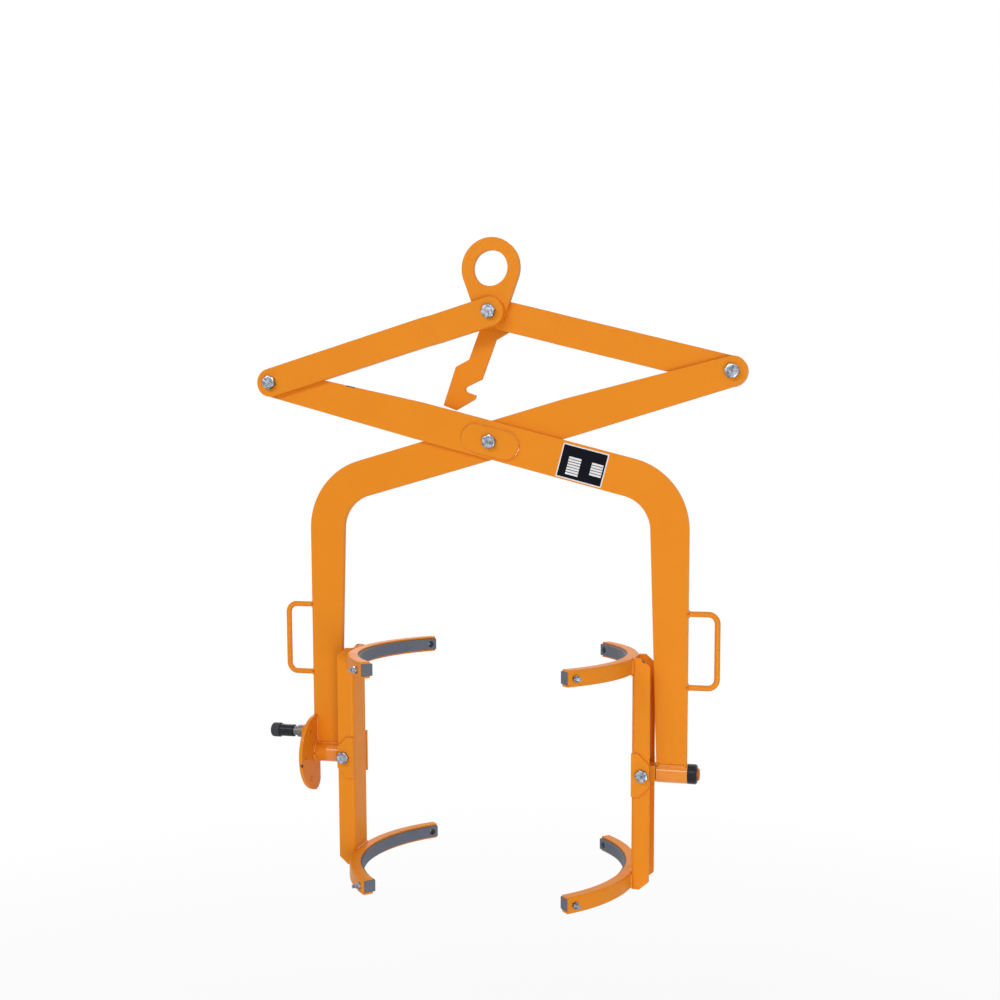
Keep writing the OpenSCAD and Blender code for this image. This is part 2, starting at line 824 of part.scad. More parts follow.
module right_beam() { color(ORANGE) beam(); }
module left_beam() { color(ORANGE) on_side(-1) beam(); }
module right_cheeks() { color(ORANGE) cheeks(); }
module left_cheeks() { color(ORANGE) on_side(-1) cheeks(); }
module right_swivel_bolt() { color(ZINC) swivel_bolt(); }
module left_swivel_bolt() { color(ZINC) on_side(-1) swivel_bolt(); }
module right_swivel_nut() { color(ZINC) swivel_nut(); }
module left_swivel_nut() { color(ZINC) on_side(-1) swivel_nut(); }
module right_swivel_spacers() { color(ZINC) swivel_spacers(); }
module left_swivel_spacers() { color(ZINC) on_side(-1) swivel_spacers(); }
module right_upper_jaw() { color(ORANGE) at_upper() jaw(); }
module right_lower_jaw() { color(ORANGE) at_lower() jaw(); }
module left_upper_jaw() { color(ORANGE) on_side(-1) at_upper() jaw(); }
module left_lower_jaw() { color(ORANGE) on_side(-1) at_lower() jaw(); }
module right_upper_pad() { color(RUBBER) at_upper() pad(); }
module right_lower_pad() { color(RUBBER) at_lower() pad(); }
module left_upper_pad() { color(RUBBER) on_side(-1) at_upper() pad(); }
module left_lower_pad() { color(RUBBER) on_side(-1) at_lower() pad(); }
module right_pad_bolts() { color(ZINC) pad_bolts(); }
module left_pad_bolts() { color(ZINC) on_side(-1) pad_bolts(); }
module right_pad_nuts() { color(ZINC) pad_nuts(); }
module left_pad_nuts() { color(ZINC) on_side(-1) pad_nuts(); }

// Lock hook: hangs behind the links on the top bolt. Drawn as it locks, with
// the seat of its slot straight below the pivot, then swung back by its tail
module lock_hook() {
    half = hook_w / 2;
    seat_r = stud_d / 2 + stud_gap;
    back = 44;
    lip = 9;
    low = hook_reach + 52;
    seat = [0, -hook_reach];
    mouth_z = -hook_reach + sqrt(2) * seat_r + half;
    tail_a = hook_hang - slope;
    color(ORANGE)
    translate([0, 0, top_z]) rotate([0, hook_hang, 0])
        difference() {
            plate_y(hook_y, hook_t) {
                polygon(turned(strap(tail_len, eye_foot_r - 2, link_w / 2 - 4), tail_a));
                polygon(concat(
                    [[-half, 0], [-half, 60 - hook_reach], [-back, 35 - hook_reach],
                     [3 - back, -low], [-half / 2, -low],
                     [half, -hook_reach - seat_r - lip], [half, -hook_reach - seat_r]],
                    arc(seat, seat_r, 270, 135, 12),
                    [[half, mouth_z], [half, -eye_foot_r - 18],
                     [eye_foot_r + 15, -20], [eye_foot_r + 15, 0]]));
            }
            bar_y(0, 0, hook_y - 1, hook_y + hook_t + 1, pivot_d + 2 * run_gap);
        }
}

eye_plate();
top_bolt();
top_spacer();
top_washer();
top_nut();
left_link();
left_pivot_bolt();
left_pivot_nut();
right_link();
right_pivot_bolt();
right_pivot_nut();
front_arm();
front_doubler();
middle_bolt();
middle_nut();
right_handle();
right_bearing_tube();
rear_arm();
rear_doubler();
left_handle();
left_bearing_tube();
index_plate();
right_axle();
right_block();
right_collar();
left_axle();
left_block();
crank_arm();
crank_nut();
plunger_sleeve();
plunger_spring();
plunger_pin();
plunger_grip();
plunger_cap();
left_beam();
left_cheeks();
left_swivel_bolt();
left_swivel_nut();
left_swivel_spacers();
left_upper_jaw();
left_lower_jaw();
left_upper_pad();
left_lower_pad();
left_pad_bolts();
left_pad_nuts();
right_beam();
right_cheeks();
right_swivel_bolt();
right_swivel_nut();
right_swivel_spacers();
right_upper_jaw();
right_lower_jaw();
right_upper_pad();
right_lower_pad();
right_pad_bolts();
right_pad_nuts();
lock_hook();
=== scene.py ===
import json
import math
import random

import bmesh
import bpy
from mathutils import Matrix, Vector


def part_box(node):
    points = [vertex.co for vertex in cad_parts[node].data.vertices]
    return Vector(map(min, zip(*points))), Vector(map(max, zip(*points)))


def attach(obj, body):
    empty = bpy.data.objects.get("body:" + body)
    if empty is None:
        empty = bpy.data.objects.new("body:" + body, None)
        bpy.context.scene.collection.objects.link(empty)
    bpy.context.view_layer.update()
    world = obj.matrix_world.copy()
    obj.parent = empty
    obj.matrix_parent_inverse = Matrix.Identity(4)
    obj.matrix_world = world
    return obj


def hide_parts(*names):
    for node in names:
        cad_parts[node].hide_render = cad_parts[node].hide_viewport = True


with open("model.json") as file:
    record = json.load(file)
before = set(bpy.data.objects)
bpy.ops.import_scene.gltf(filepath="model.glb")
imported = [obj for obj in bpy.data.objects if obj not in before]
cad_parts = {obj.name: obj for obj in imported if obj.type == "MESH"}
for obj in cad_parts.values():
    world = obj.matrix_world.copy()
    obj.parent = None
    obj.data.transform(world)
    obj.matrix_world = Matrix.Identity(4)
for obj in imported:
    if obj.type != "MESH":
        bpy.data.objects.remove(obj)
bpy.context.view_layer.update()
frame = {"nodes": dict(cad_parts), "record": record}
nodes = frame["nodes"]

# Camera: stands a little to the right of the clamp and above its middle, and
# looks slightly down. The lens is shifted up, as the photograph was cropped.
eye_at = Vector((0.72804, -2.54106, -0.44626))
heading = math.radians(15.7716)
tilt = math.radians(-5.3173)
lean = math.radians(-0.2154)
camera = bpy.data.objects.new("camera", bpy.data.cameras.new("camera"))
camera.data.lens = 44.11
camera.data.shift_x = 0.0030
camera.data.shift_y = 0.0942
camera.data.clip_end = 60
camera.matrix_world = (
    Matrix.Translation(eye_at)
    @ Matrix.Rotation(heading, 4, "Z")
    @ Matrix.Rotation(math.pi / 2 + tilt, 4, "X")
    @ Matrix.Rotation(lean, 4, "Z")
)
bpy.context.scene.collection.objects.link(camera)
bpy.context.scene.camera = camera
bpy.context.scene.view_settings.view_transform = "Standard"


# Floor: a plain white sheet below the hanging clamp. The camera, gloss and glass
# see it as white, and the object's shadow still falls on it.
class Value:
    """One output socket of a material's node, with the sums that its nodes do."""

    def __init__(self, maker, socket):
        self.maker = maker
        self.socket = socket

    def sum(self, operation, first, second):
        return self.maker.node(
            "ShaderNodeMath", {"operation": operation}, {0: first, 1: second}
        )

    def __add__(self, other):
        return self.sum("ADD", self, other)

    def __radd__(self, other):
        return self.sum("ADD", other, self)

    def __sub__(self, other):
        return self.sum("SUBTRACT", self, other)

    def __rsub__(self, other):
        return self.sum("SUBTRACT", other, self)

    def __mul__(self, other):
        return self.sum("MULTIPLY", self, other)

    def __rmul__(self, other):
        return self.sum("MULTIPLY", other, self)

    def __gt__(self, other):
        return self.sum("GREATER_THAN", self, other)


class Finish:
    """A material with its own place on the object, and the one method that adds its
    nodes."""

    def __init__(self, name):
        self.material = bpy.data.materials.new(name)
        self.material.use_nodes = True
        self.tree = self.material.node_tree
        self.tree.nodes.clear()
        self.place = self.node("ShaderNodeTexCoord", out="Object")

    def node(self, kind, settings=None, values=None, out=0):
        made = self.tree.nodes.new(kind)
        for key, value in (settings or {}).items():
            if key == "stops":
                ramp = made.color_ramp
                for i, (place, shade) in enumerate(value):
                    stop = ramp.elements[i] if i < 2 else ramp.elements.new(place)
                    stop.position = place
                    stop.color = (shade, shade, shade, 1)
            else:
                setattr(made, key, value)
        for key, value in (values or {}).items():
            if isinstance(value, Value):
                self.tree.links.new(value.socket, made.inputs[key])
            else:
                made.inputs[key].default_value = value
        return Value(self, made.outputs[out]) if made.outputs else None


floor_z = -1.95
floor_size = 16
shadow_near, shadow_far = 2.0, 3.6
least_glow = 0.8
floor_finish = Finish("floor_sheet")
seen = (
    floor_finish.node("ShaderNodeLightPath", out="Is Camera Ray")
    + floor_finish.node("ShaderNodeLightPath", out="Is Glossy Ray")
    + floor_finish.node("ShaderNodeLightPath", out="Is Transmission Ray")
)
from_middle = floor_finish.node(
    "ShaderNodeVectorMath", {"operation": "LENGTH"}, {0: floor_finish.place}, out="Value"
)
far = floor_finish.node(
    "ShaderNodeMapRange",
    values={
        "Value": from_middle,
        "From Min": shadow_near,
        "From Max": shadow_far,
        "To Min": least_glow,
    },
)
matt = floor_finish.node("ShaderNodeBsdfDiffuse", values={"Color": (0.9, 0.9, 0.9, 1)})
glow = floor_finish.node(
    "ShaderNodeEmission", values={"Color": (1, 1, 1, 1), "Strength": 1}
)
mixed = floor_finish.node(
    "ShaderNodeMixShader", values={0: seen * far, 1: matt, 2: glow}
)
floor_finish.node("ShaderNodeOutputMaterial", values={"Surface": mixed})
sheet = bmesh.new()
bmesh.ops.create_grid(sheet, x_segments=1, y_segments=1, size=floor_size)
bmesh.ops.translate(sheet, verts=sheet.verts, vec=(0, 0, floor_z))
floor_mesh = bpy.data.meshes.new("floor_sheet")
sheet.to_mesh(floor_mesh)
sheet.free()
floor_mesh.materials.append(floor_finish.material)
floor = bpy.data.objects.new("floor_sheet", floor_mesh)
bpy.context.scene.collection.objects.link(floor)

# Light: an even room, which camera, gloss and glass see as white, and four soft
# lamps: a wide one high at the front left, one low at the front right, two behind.
room_light = 0.41
lit_place = Vector((0, 0, -0.65))
world = bpy.data.worlds.new("white_room")
bpy.context.scene.world = world
world.use_nodes = True
links = world.node_tree.links
room = world.node_tree.nodes["Background"]
room.inputs["Color"].default_value = (1, 1, 1, 1)
room_path = world.node_tree.nodes.new("ShaderNodeLightPath")
strength = None
for ray in ("Is Camera Ray", "Is Glossy Ray", "Is Transmission Ray"):
    white = world.node_tree.nodes.new("ShaderNodeMath")
    white.operation = "MAXIMUM"
    links.new(room_path.outputs[ray], white.inputs[0])
    if strength:
        links.new(strength, white.inputs[1])
    else:
        white.inputs[1].default_value = room_light
    strength = white.outputs[0]
links.new(strength, room.inputs["Strength"])
for name, place, size, power in (
    ("key", (-1.15, -3.1, 1.5), (3.1, 0.45), 48),
    ("low", (1.7, -3.1, -1.4), (1.2, 1.2), 39),
    ("behind", (-1.4, 3.1, 1.6), (1.6, 1.6), 60),
    ("far side", (2.8, 2.0, 1.7), (1.6, 1.6), 18),
):
    lamp = bpy.data.lights.new(name, "AREA")
    lamp.shape = "RECTANGLE"
    lamp.size, lamp.size_y = size
    lamp.energy = power
    stand = bpy.data.objects.new(name, lamp)
    turn = (lit_place - Vector(place)).to_track_quat("-Z", "Y")
    stand.matrix_world = Matrix.Translation(place) @ turn.to_matrix().to_4x4()
    bpy.context.scene.collection.objects.link(stand)

# Painted steel: cut, bent and welded plate under a coat of orange enamel. The
# coat is thin on the edges, whose colour darkens there partly as wear and partly
# as painted shade, with rubs, a few chips and fine scratches, and it lies thicker
# and glossier on the welds and on the bearing tubes. Two dark spots at a jaw are
# painted shade in its joint with the beam as well as chips.
def grain(finish, size, detail=3, rough=0.55, at=None):
    """Noise with features of about that size in metres, from 0 to 1."""
    return finish.node(
        "ShaderNodeTexNoise",
        values={
            "Vector": at or finish.place,
            "Scale": 1 / size,
            "Detail": detail,
            "Roughness": rough,
        },
    )


def steps(finish, value, *stops):
    """A value remapped between stops."""
    return finish.node("ShaderNodeValToRGB", {"stops": stops}, {"Fac": value})


def tint(finish, mask, under, over):
    """Colour that goes from under to over as the mask goes from 0 to 1."""
    return finish.node(
        "ShaderNodeMix", {"data_type": "RGBA"}, {0: mask, 6: under, 7: over}, out=2
    )


def edges(finish, radius):
    """1 on sharp edges, 0 on flat faces, and the normal of the rounded edge."""
    rounded = finish.node("ShaderNodeBevel", {"samples": 6}, {"Radius": radius})
    flat = finish.node("ShaderNodeNewGeometry", out="True Normal")
    same = finish.node(
        "ShaderNodeVectorMath",
        {"operation": "DOT_PRODUCT"},
        {0: rounded, 1: flat},
        out="Value",
    )
    return 1 - same, rounded


def surface(
    finish, colour, rough, bump, metal=0.0, coat=0.0, coat_rough=0.18, normal=None,
    depth=0.0002, shine=0.5
):
    """The shader and the material's output."""
    raised = finish.node(
        "ShaderNodeBump",
        values={"Height": bump, "Distance": depth, "Strength": 1.0}
        | ({"Normal": normal} if normal else {}),
    )
    shader = finish.node(
        "ShaderNodeBsdfPrincipled",
        values={
            "Base Color": colour,
            "Roughness": rough,
            "Metallic": metal,
            "Coat Weight": coat,
            "Coat Roughness": coat_rough,
            "Specular IOR Level": shine,
            "Normal": raised,
        },
    )
    finish.node("ShaderNodeOutputMaterial", values={"Surface": shader})
    return finish.material


def enamel(name, coat, coat_rough, rough):
    """Orange enamel, with the weight and roughness of its clear coat."""
    paint = Finish(name)
    edge, rounded = edges(paint, 0.0012)
    cloud = steps(paint, grain(paint, 0.16), (0.35, 0), (0.75, 1))
    mottle = grain(paint, 0.018, 4)
    colour = tint(paint, cloud * 0.18 + mottle * 0.12, bright, deep)
    # Edges darken: rubbed thin paint, and painted shade along the plate edges.
    edge_wear_and_shade = steps(paint, edge, (0.05, 0), (0.35, 1))
    colour = tint(paint, edge_wear_and_shade * 0.6, colour, worn_and_edge_shade)
    chips_and_shade_spots = (edge_wear_and_shade * grain(paint, 0.011, 5, 0.7)) > 0.60
    # The listed spots include painted shade in the joint of a jaw and its beam.
    for spot, reach in knocks_and_shade_spots:
        away = paint.node(
            "ShaderNodeVectorMath",
            {"operation": "DISTANCE"},
            {0: paint.place, 1: spot},
            out="Value",
        )
        chips_and_shade_spots = (reach * 0.6 - away + grain(paint, 0.004, 3) * reach > 0) + chips_and_shade_spots
    colour = tint(paint, chips_and_shade_spots, colour, chip_and_shade_dark)
    along = paint.node(
        "ShaderNodeMapping", values={"Vector": paint.place, "Scale": (60, 4, 4)}
    )
    scratches = steps(paint, grain(paint, 0.3, 2, at=along), (0.70, 0), (0.74, 1))
    rubbed = steps(paint, grain(paint, 0.035, 5), (0.45, 0), (0.8, 1))
    return surface(
        paint,
        colour,
        rough + rubbed * 0.16 + chips_and_shade_spots * 0.2 + scratches * 0.08,
        grain(paint, 0.0032, 2) * 0.22 - chips_and_shade_spots * 0.6,
        coat=coat,
        coat_rough=coat_rough,
        normal=rounded,
        shine=0.08,
    )


bright = (0.83, 0.268, 0.014, 1)
deep = (0.73, 0.210, 0.010, 1)
# Colour of the edges: worn paint and painted shade.
worn_and_edge_shade = (0.48, 0.115, 0.010, 1)
# Dark steel of the chips, also used for the painted shade spots at a jaw joint.
chip_and_shade_dark = (0.075, 0.058, 0.05, 1)
knocks_and_shade_spots = (
    ((-0.3250, -0.010, -0.2377), 0.0036),
    ((-0.3205, -0.010, -0.2389), 0.0036),
    ((-0.3160, -0.010, -0.2401), 0.0030),
    ((-0.3115, -0.010, -0.2414), 0.0036),
    ((-0.4165, -0.0852, -1.0780), 0.004),
    # These two darken the beam's top edge where the jaw sits: painted shade in the joint as
    # well as chips.
    ((0.3390, -0.0380, -0.8180), 0.006),
    ((0.3440, -0.0380, -0.8225), 0.004),
)
orange_paint = enamel("orange_enamel", 0.12, 0.18, 0.42)
thick_paint = enamel("thick_orange_enamel", 0.85, 0.06, 0.30)
slots = {piece["node"]: piece["material_slot"] for piece in frame["record"]["subparts"]}


def dress(name, material):
    """Gives a CAD node its material."""
    nodes[name].data.materials.clear()
    nodes[name].data.materials.append(material)


for name in nodes:
    if slots[name] == "orange_paint":
        dress(name, thick_paint if "bearing_tube" in name else orange_paint)

# Bolts and nuts: zinc-plated, hexagon heads with a washer face below, the top
# dished, and rolled threads. They close the pivots of the scissor, hold the
# yokes on their blocks and the pads in the jaws.
# The dark and light mottle is zinc spangle and also painted reflection of dark
# surroundings; the bright edges are a painted highlight.
zinc_dark = (0.12, 0.14, 0.19, 1)
zinc_light = (0.48, 0.52, 0.59, 1)
zinc_edge_highlight = (0.86, 0.87, 0.88, 1)
zinc = Finish("zinc_plate")
edge, rounded = edges(zinc, 0.0006)
spangle_and_reflection = steps(zinc, grain(zinc, 0.007, 4, 0.65), (0.38, 0), (0.62, 1))
colour = tint(zinc, spangle_and_reflection, zinc_dark, zinc_light)
colour = tint(zinc, edge * 0.9, colour, zinc_edge_highlight)
zinc_plate = surface(
    zinc, colour, 0.24 + grain(zinc, 0.004, 4) * 0.2, grain(zinc, 0.0012, 3) * 0.3,
    metal=0.95, normal=rounded, depth=0.0001,
)
sides = 48
same_spot = 1e-6
corner_cut = math.radians(25)


def flat_side(angle, flats):
    """Distance from the middle of a hexagon to its side, in that direction."""
    return flats / 2 / math.cos(angle % (math.pi / 3) - math.pi / 6)


def raise_rings(mesh, rings):
    """Stacks rings of points outward from the first, which is closed with a face
    unless the last one meets it. A ring is a radius and a height. With the width of
    a hexagon and a side, 1 or -1, it follows the hexagon, whose corners are cut by a
    cone from that radius: they rise above the height or drop below it."""
    made = bmesh.ops.create_circle(mesh, segments=sides, radius=1, cap_ends=False)["verts"]
    loop = list({link for vert in made for link in vert.link_edges})
    for count, (radius, height, *hexagon) in enumerate(rings):
        if count:
            spread = bmesh.ops.extrude_edge_only(mesh, edges=loop)["geom"]
            made = [part for part in spread if isinstance(part, bmesh.types.BMVert)]
            loop = [
                part
                for part in spread
                if isinstance(part, bmesh.types.BMEdge)
                and part.verts[0] in made
                and part.verts[1] in made
            ]
        for vert in made:
            angle = math.atan2(vert.co.y, vert.co.x)
            reach, level = radius, height
            if hexagon:
                flats, side = hexagon
                reach = flat_side(angle, flats)
                level = height + side * max(0.0, reach - radius) * math.tan(corner_cut)
            vert.co = Vector((math.cos(angle) * reach, math.sin(angle) * reach, level))


def close_up(mesh):
    """Merges seams, closes open rims and turns all faces outward."""
    bmesh.ops.remove_doubles(mesh, verts=mesh.verts, dist=same_spot)
    rims = [link for link in mesh.edges if link.is_boundary]
    if rims:
        bmesh.ops.holes_fill(mesh, edges=rims, sides=0)
    bmesh.ops.recalc_face_normals(mesh, faces=mesh.faces)


thread_depth = 0.6
thread_steps = 20


def thread(radius, pitch, low, high):
    """A rod with a rolled thread from low to high, its ends cut flat."""
    rod = bmesh.new()
    root = radius - thread_depth * pitch
    crest = [
        rod.verts.new((place, 0, low + drop * pitch - 2 * pitch))
        for place, drop in ((root, 0), (radius, 0.42), (radius, 0.58), (root, 1))
    ]
    chain = [rod.edges.new(pair) for pair in zip(crest, crest[1:])]
    turns = math.ceil((high - low) / pitch) + 3
    bmesh.ops.spin(
        rod, geom=crest + chain, cent=(0, 0, 0), axis=(0, 0, 1),
        dvec=(0, 0, pitch / thread_steps), angle=math.tau * turns,
        steps=thread_steps * turns, use_merge=False,
    )
    bmesh.ops.remove_doubles(rod, verts=rod.verts, dist=same_spot)
    for level, above in ((low, False), (high, True)):
        bmesh.ops.bisect_plane(
            rod, geom=rod.verts[:] + rod.edges[:] + rod.faces[:], plane_co=(0, 0, level),
            plane_no=(0, 0, 1), clear_outer=above, clear_inner=not above, dist=1e-7,
        )
    close_up(rod)
    return rod


def into(mesh, part):
    """Adds one bmesh to another and frees it."""
    copy = bpy.data.meshes.new("part")
    part.to_mesh(copy)
    part.free()
    mesh.from_mesh(copy)
    bpy.data.meshes.remove(copy)


def hexagon_bolt(flats, head, diameter, length, pitch, bare_length):
    """Bolt with its seat at the origin: head up, threaded end down."""
    bolt = bmesh.new()
    dish, cone, washer = head - 0.04 * flats, 0.47 * flats, 0.48 * flats
    raise_rings(bolt, (
        (0.20 * flats, dish),
        (0.33 * flats, dish),
        (0.38 * flats, head),
        (cone, head),
        (cone, head, flats, -1),
        (cone, 0.0012, flats, 0),
        (washer, 0.0007),
        (washer, 0),
        (diameter / 2, 0),
        (diameter / 2, -bare_length),
        (diameter / 2 - thread_depth * pitch, -bare_length - 0.4 * pitch),
    ))
    close_up(bolt)
    rod = thread(diameter / 2, pitch, -length, -bare_length)
    into(bolt, rod)
    return bolt


bore_wide, bore_deep = 0.0012, 0.0015


def hexagon_nut(flats, height, diameter):
    """Nut with its seat at the origin, both faces cut to a cone, and its bore."""
    nut = bmesh.new()
    hole = diameter / 2 + 0.0001
    cone = 0.47 * flats
    raise_rings(nut, (
        (hole, bore_deep),
        (hole + bore_wide, 0),
        (cone, 0),
        (cone, 0, flats, 1),
        (cone, height, flats, -1),
        (cone, height),
        (hole + bore_wide, height),
        (hole, height - bore_deep),
        (hole, bore_deep),
    ))
    close_up(nut)
    return nut


sharp_from = math.radians(32)


def add_piece(name, mesh, body, slot, material, *stands_for):
    """Makes a piece of a finished bmesh and says what it rides on."""
    shape = bpy.data.meshes.new(name)
    mesh.to_mesh(shape)
    mesh.free()
    shape.materials.append(material)
    shape.shade_smooth()
    shape.set_sharp_from_angle(angle=sharp_from)
    made = bpy.data.objects.new(name, shape)
    bpy.context.scene.collection.objects.link(made)
    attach(made, body)
    if stands_for:
        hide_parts(*stands_for)
    return made


def middle(node):
    """Middle of a node's box."""
    low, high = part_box(node)
    return (low + high) / 2


def put(mesh, place, turn):
    """Turns and moves a whole bmesh."""
    bmesh.ops.transform(mesh, matrix=Matrix.Translation(place) @ turn, verts=mesh.verts)


front_up = Matrix.Rotation(math.pi / 2, 4, "X")
pivot = {"flats": 0.027, "head": 0.0115, "diameter": 0.018, "pitch": 0.0025}
swivel = {"flats": 0.024, "head": 0.010, "diameter": 0.016, "pitch": 0.002}
stud_r, stud_pitch = 0.006, 0.00175
for name, nut, body, kind, turn in (
    ("top_bolt", "top_nut", "hanger", pivot, 12),
    ("left_pivot_bolt", "left_pivot_nut", "left_link", pivot, 37),
    ("right_pivot_bolt", "right_pivot_nut", "right_link", pivot, 51),
    ("middle_bolt", "middle_nut", "front_arm", pivot, 24),
    ("left_swivel_bolt", "left_swivel_nut", "left_yoke", swivel, 8),
    ("right_swivel_bolt", "right_swivel_nut", "right_yoke", swivel, 43),
):
    low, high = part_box(name)
    nut_low, nut_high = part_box(nut)
    axis = middle(nut)
    seat = low.y + kind["head"]
    turned_by = Matrix.Rotation(math.radians(turn), 4, "Z")
    end = high.y if name != "middle_bolt" else nut_high.y + 0.001
    bolt = hexagon_bolt(
        kind["flats"], kind["head"], kind["diameter"], end - seat, kind["pitch"],
        nut_low.y - seat,
    )
    put(bolt, (axis.x, seat, axis.z), front_up @ turned_by)
    if name == "middle_bolt":
        stud = thread(stud_r, stud_pitch, nut_high.y, high.y)
        back_up = Matrix.Rotation(-math.pi / 2, 3, "X")
        bmesh.ops.rotate(stud, matrix=back_up, verts=stud.verts)
        bmesh.ops.translate(stud, verts=stud.verts, vec=(axis.x, 0, axis.z))
        into(bolt, stud)
    add_piece(name + "_threaded", bolt, body, "zinc", zinc_plate, name)
    piece = hexagon_nut(kind["flats"], nut_high.y - nut_low.y, kind["diameter"])
    put(piece, (axis.x, nut_high.y, axis.z), front_up @ turned_by)
    add_piece(nut + "_cut", piece, body, "zinc", zinc_plate, nut)

# Pad bolts: countersunk in the rubber with a socket for the key, each with its
# nut on the back of the jaw and a few turns of thread beyond it.
jaw_outer = 0.316
pad_bolt_turn = 43.28
pad_bolt = {"diameter": 0.008, "pitch": 0.00125, "past": 0.009}
pad_nut = {"flats": 0.013, "height": 0.0068}
socket = 0.005
sunk_head = 0.0072
sunk_face = -0.019
random.seed(7)


def sunk_bolt():
    """Bolt with the seat of its nut at the origin, its threaded end up."""
    part = bmesh.new()
    shank = pad_bolt["diameter"] / 2
    raise_rings(part, (
        (0.0012, sunk_face + 0.0030),
        (0, sunk_face + 0.0026, socket, 0),
        (0, sunk_face, socket, 0),
        (sunk_head - 0.0003, sunk_face),
        (sunk_head, sunk_face + 0.0003),
        (shank, sunk_face + sunk_head - shank),
        (shank, -0.0012),
        (shank - thread_depth * pad_bolt["pitch"], -0.0008),
    ))
    close_up(part)
    end = pad_nut["height"] + pad_bolt["past"]
    into(part, thread(shank, pad_bolt["pitch"], -0.001, end))
    return part


for side, base in (("right", 0), ("left", 180)):
    bolts, nuts = bmesh.new(), bmesh.new()
    for jaw in ("_upper_jaw", "_lower_jaw"):
        for turn in (base - pad_bolt_turn, base + pad_bolt_turn):
            seat = (
                Matrix.Translation((0, 0, middle(side + jaw).z))
                @ Matrix.Rotation(math.radians(turn), 4, "Z")
                @ Matrix.Translation((jaw_outer, 0, 0))
                @ Matrix.Rotation(math.pi / 2, 4, "Y")
                @ Matrix.Rotation(random.uniform(0, math.tau), 4, "Z")
            )
            bolt = sunk_bolt()
            bmesh.ops.transform(bolt, matrix=seat, verts=bolt.verts)
            into(bolts, bolt)
            nut = hexagon_nut(pad_nut["flats"], pad_nut["height"], pad_bolt["diameter"])
            bmesh.ops.transform(nut, matrix=seat, verts=nut.verts)
            into(nuts, nut)
    for part, mesh, made in (
        (side + "_pad_bolts", bolts, "_threaded"),
        (side + "_pad_nuts", nuts, "_cut"),
    ):
        add_piece(part + made, mesh, side + "_yoke", "zinc", zinc_plate, part)

# Bare steel: the axles and the plunger's moving parts, turned and oiled. Orange
# overspray covers the end of the right axle beyond its ring.
steel_dark = (0.12, 0.12, 0.13, 1)
steel_light = (0.20, 0.20, 0.20, 1)
steel_brown = (0.30, 0.19, 0.10, 1)
overspray = (0.42, 0.13, 0.02, 1)
bare = Finish("turned_steel")
edge, rounded = edges(bare, 0.0006)
stretched = bare.node(
    "ShaderNodeMapping", values={"Vector": bare.place, "Scale": (30, 1, 1)}
)
lathe = grain(bare, 0.02, 3, at=stretched)
brown = steps(bare, grain(bare, 0.02, 4), (0.5, 0), (0.75, 1))
colour = tint(bare, lathe, steel_dark, steel_light)
colour = tint(bare, brown * 0.4, colour, steel_brown)
ring_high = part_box("right_collar")[1]
outward = bare.node("ShaderNodeSeparateXYZ", values={0: bare.place}, out="X")
colour = tint(bare, outward > ring_high.x - 0.004, colour, overspray)
turned_steel = surface(
    bare, colour, 0.33 + lathe * 0.15 + brown * 0.2, lathe * 0.5,
    metal=0.85, normal=rounded, depth=0.0001,
)

# Axles: turned round bar welded into the square blocks. The right one ends in a
# cut edge and a centre hole, the left one in a thread that holds the crank.
left_up = Matrix.Rotation(-math.pi / 2, 4, "Y")
right_up = Matrix.Rotation(math.pi / 2, 4, "Y")
low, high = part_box("right_axle")
axle_r = (high.z - low.z) / 2
axle_long = high.x - low.x
bar = bmesh.new()
raise_rings(bar, (
    (axle_r - 0.001, 0),
    (axle_r, 0.001),
    (axle_r, axle_long - 0.0025),
    (axle_r - 0.0010, axle_long - 0.0010),
    (axle_r - 0.0025, axle_long),
    (0.0035, axle_long),
    (0.0022, axle_long - 0.0020),
    (0.0008, axle_long - 0.0035),
))
close_up(bar)
put(bar, (low.x, 0, middle("right_axle").z), right_up)
add_piece("right_axle_turned", bar, "right_axle", "bare_steel", turned_steel, "right_axle")
low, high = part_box("left_axle")
nut_low, nut_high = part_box("crank_nut")
shoulder = high.x - nut_high.x
end_long = high.x - low.x
end_r, end_pitch = axle_r - 0.003, 0.0025
end_root = end_r - thread_depth * end_pitch
bar = bmesh.new()
raise_rings(bar, (
    (axle_r - 0.001, 0),
    (axle_r, 0.001),
    (axle_r, shoulder),
    (end_root, shoulder),
    (end_root, shoulder + 0.0012),
))
close_up(bar)
into(bar, thread(end_r, end_pitch, shoulder + 0.001, end_long))
put(bar, (high.x, 0, middle("left_axle").z), left_up)
add_piece("left_axle_turned", bar, "left_axle", "bare_steel", turned_steel, "left_axle")
crank_nut_turn = 0.35
nut = hexagon_nut(pivot["flats"], nut_high.x - nut_low.x, 2 * end_r)
turned_by = Matrix.Rotation(crank_nut_turn, 4, "Z")
put(nut, (nut_high.x, 0, middle("crank_nut").z), left_up @ turned_by)
add_piece("crank_nut_cut", nut, "left_axle", "zinc", zinc_plate, "crank_nut")

# Black plastic: the ring on the right axle and the plunger's grip are smooth and
# glossy, and the cap on the grip is a duller, softer rubber.
plastic_black = (0.006, 0.007, 0.013, 1)
plastic_worn = (0.03, 0.032, 0.042, 1)
cap_black = (0.024, 0.026, 0.034, 1)
cap_worn = (0.07, 0.074, 0.088, 1)
black = Finish("black_plastic")
edge, rounded = edges(black, 0.0008)
mask = grain(black, 0.01, 4) * 0.4 + edge
colour = tint(black, mask, plastic_black, plastic_worn)
black_plastic = surface(
    black, colour, 0.20 + grain(black, 0.006) * 0.16, grain(black, 0.0011, 2) * 0.4,
    normal=rounded, depth=0.0001, shine=0.22,
)
soft = Finish("cap_rubber")
edge, rounded = edges(soft, 0.0012)
mask = grain(soft, 0.008, 4) * 0.6 + edge
colour = tint(soft, mask, cap_black, cap_worn)
cap_rubber = surface(
    soft, colour, 0.52 + grain(soft, 0.006) * 0.2, grain(soft, 0.0014, 3) * 0.7,
    normal=rounded, depth=0.0001, shine=0.25,
)

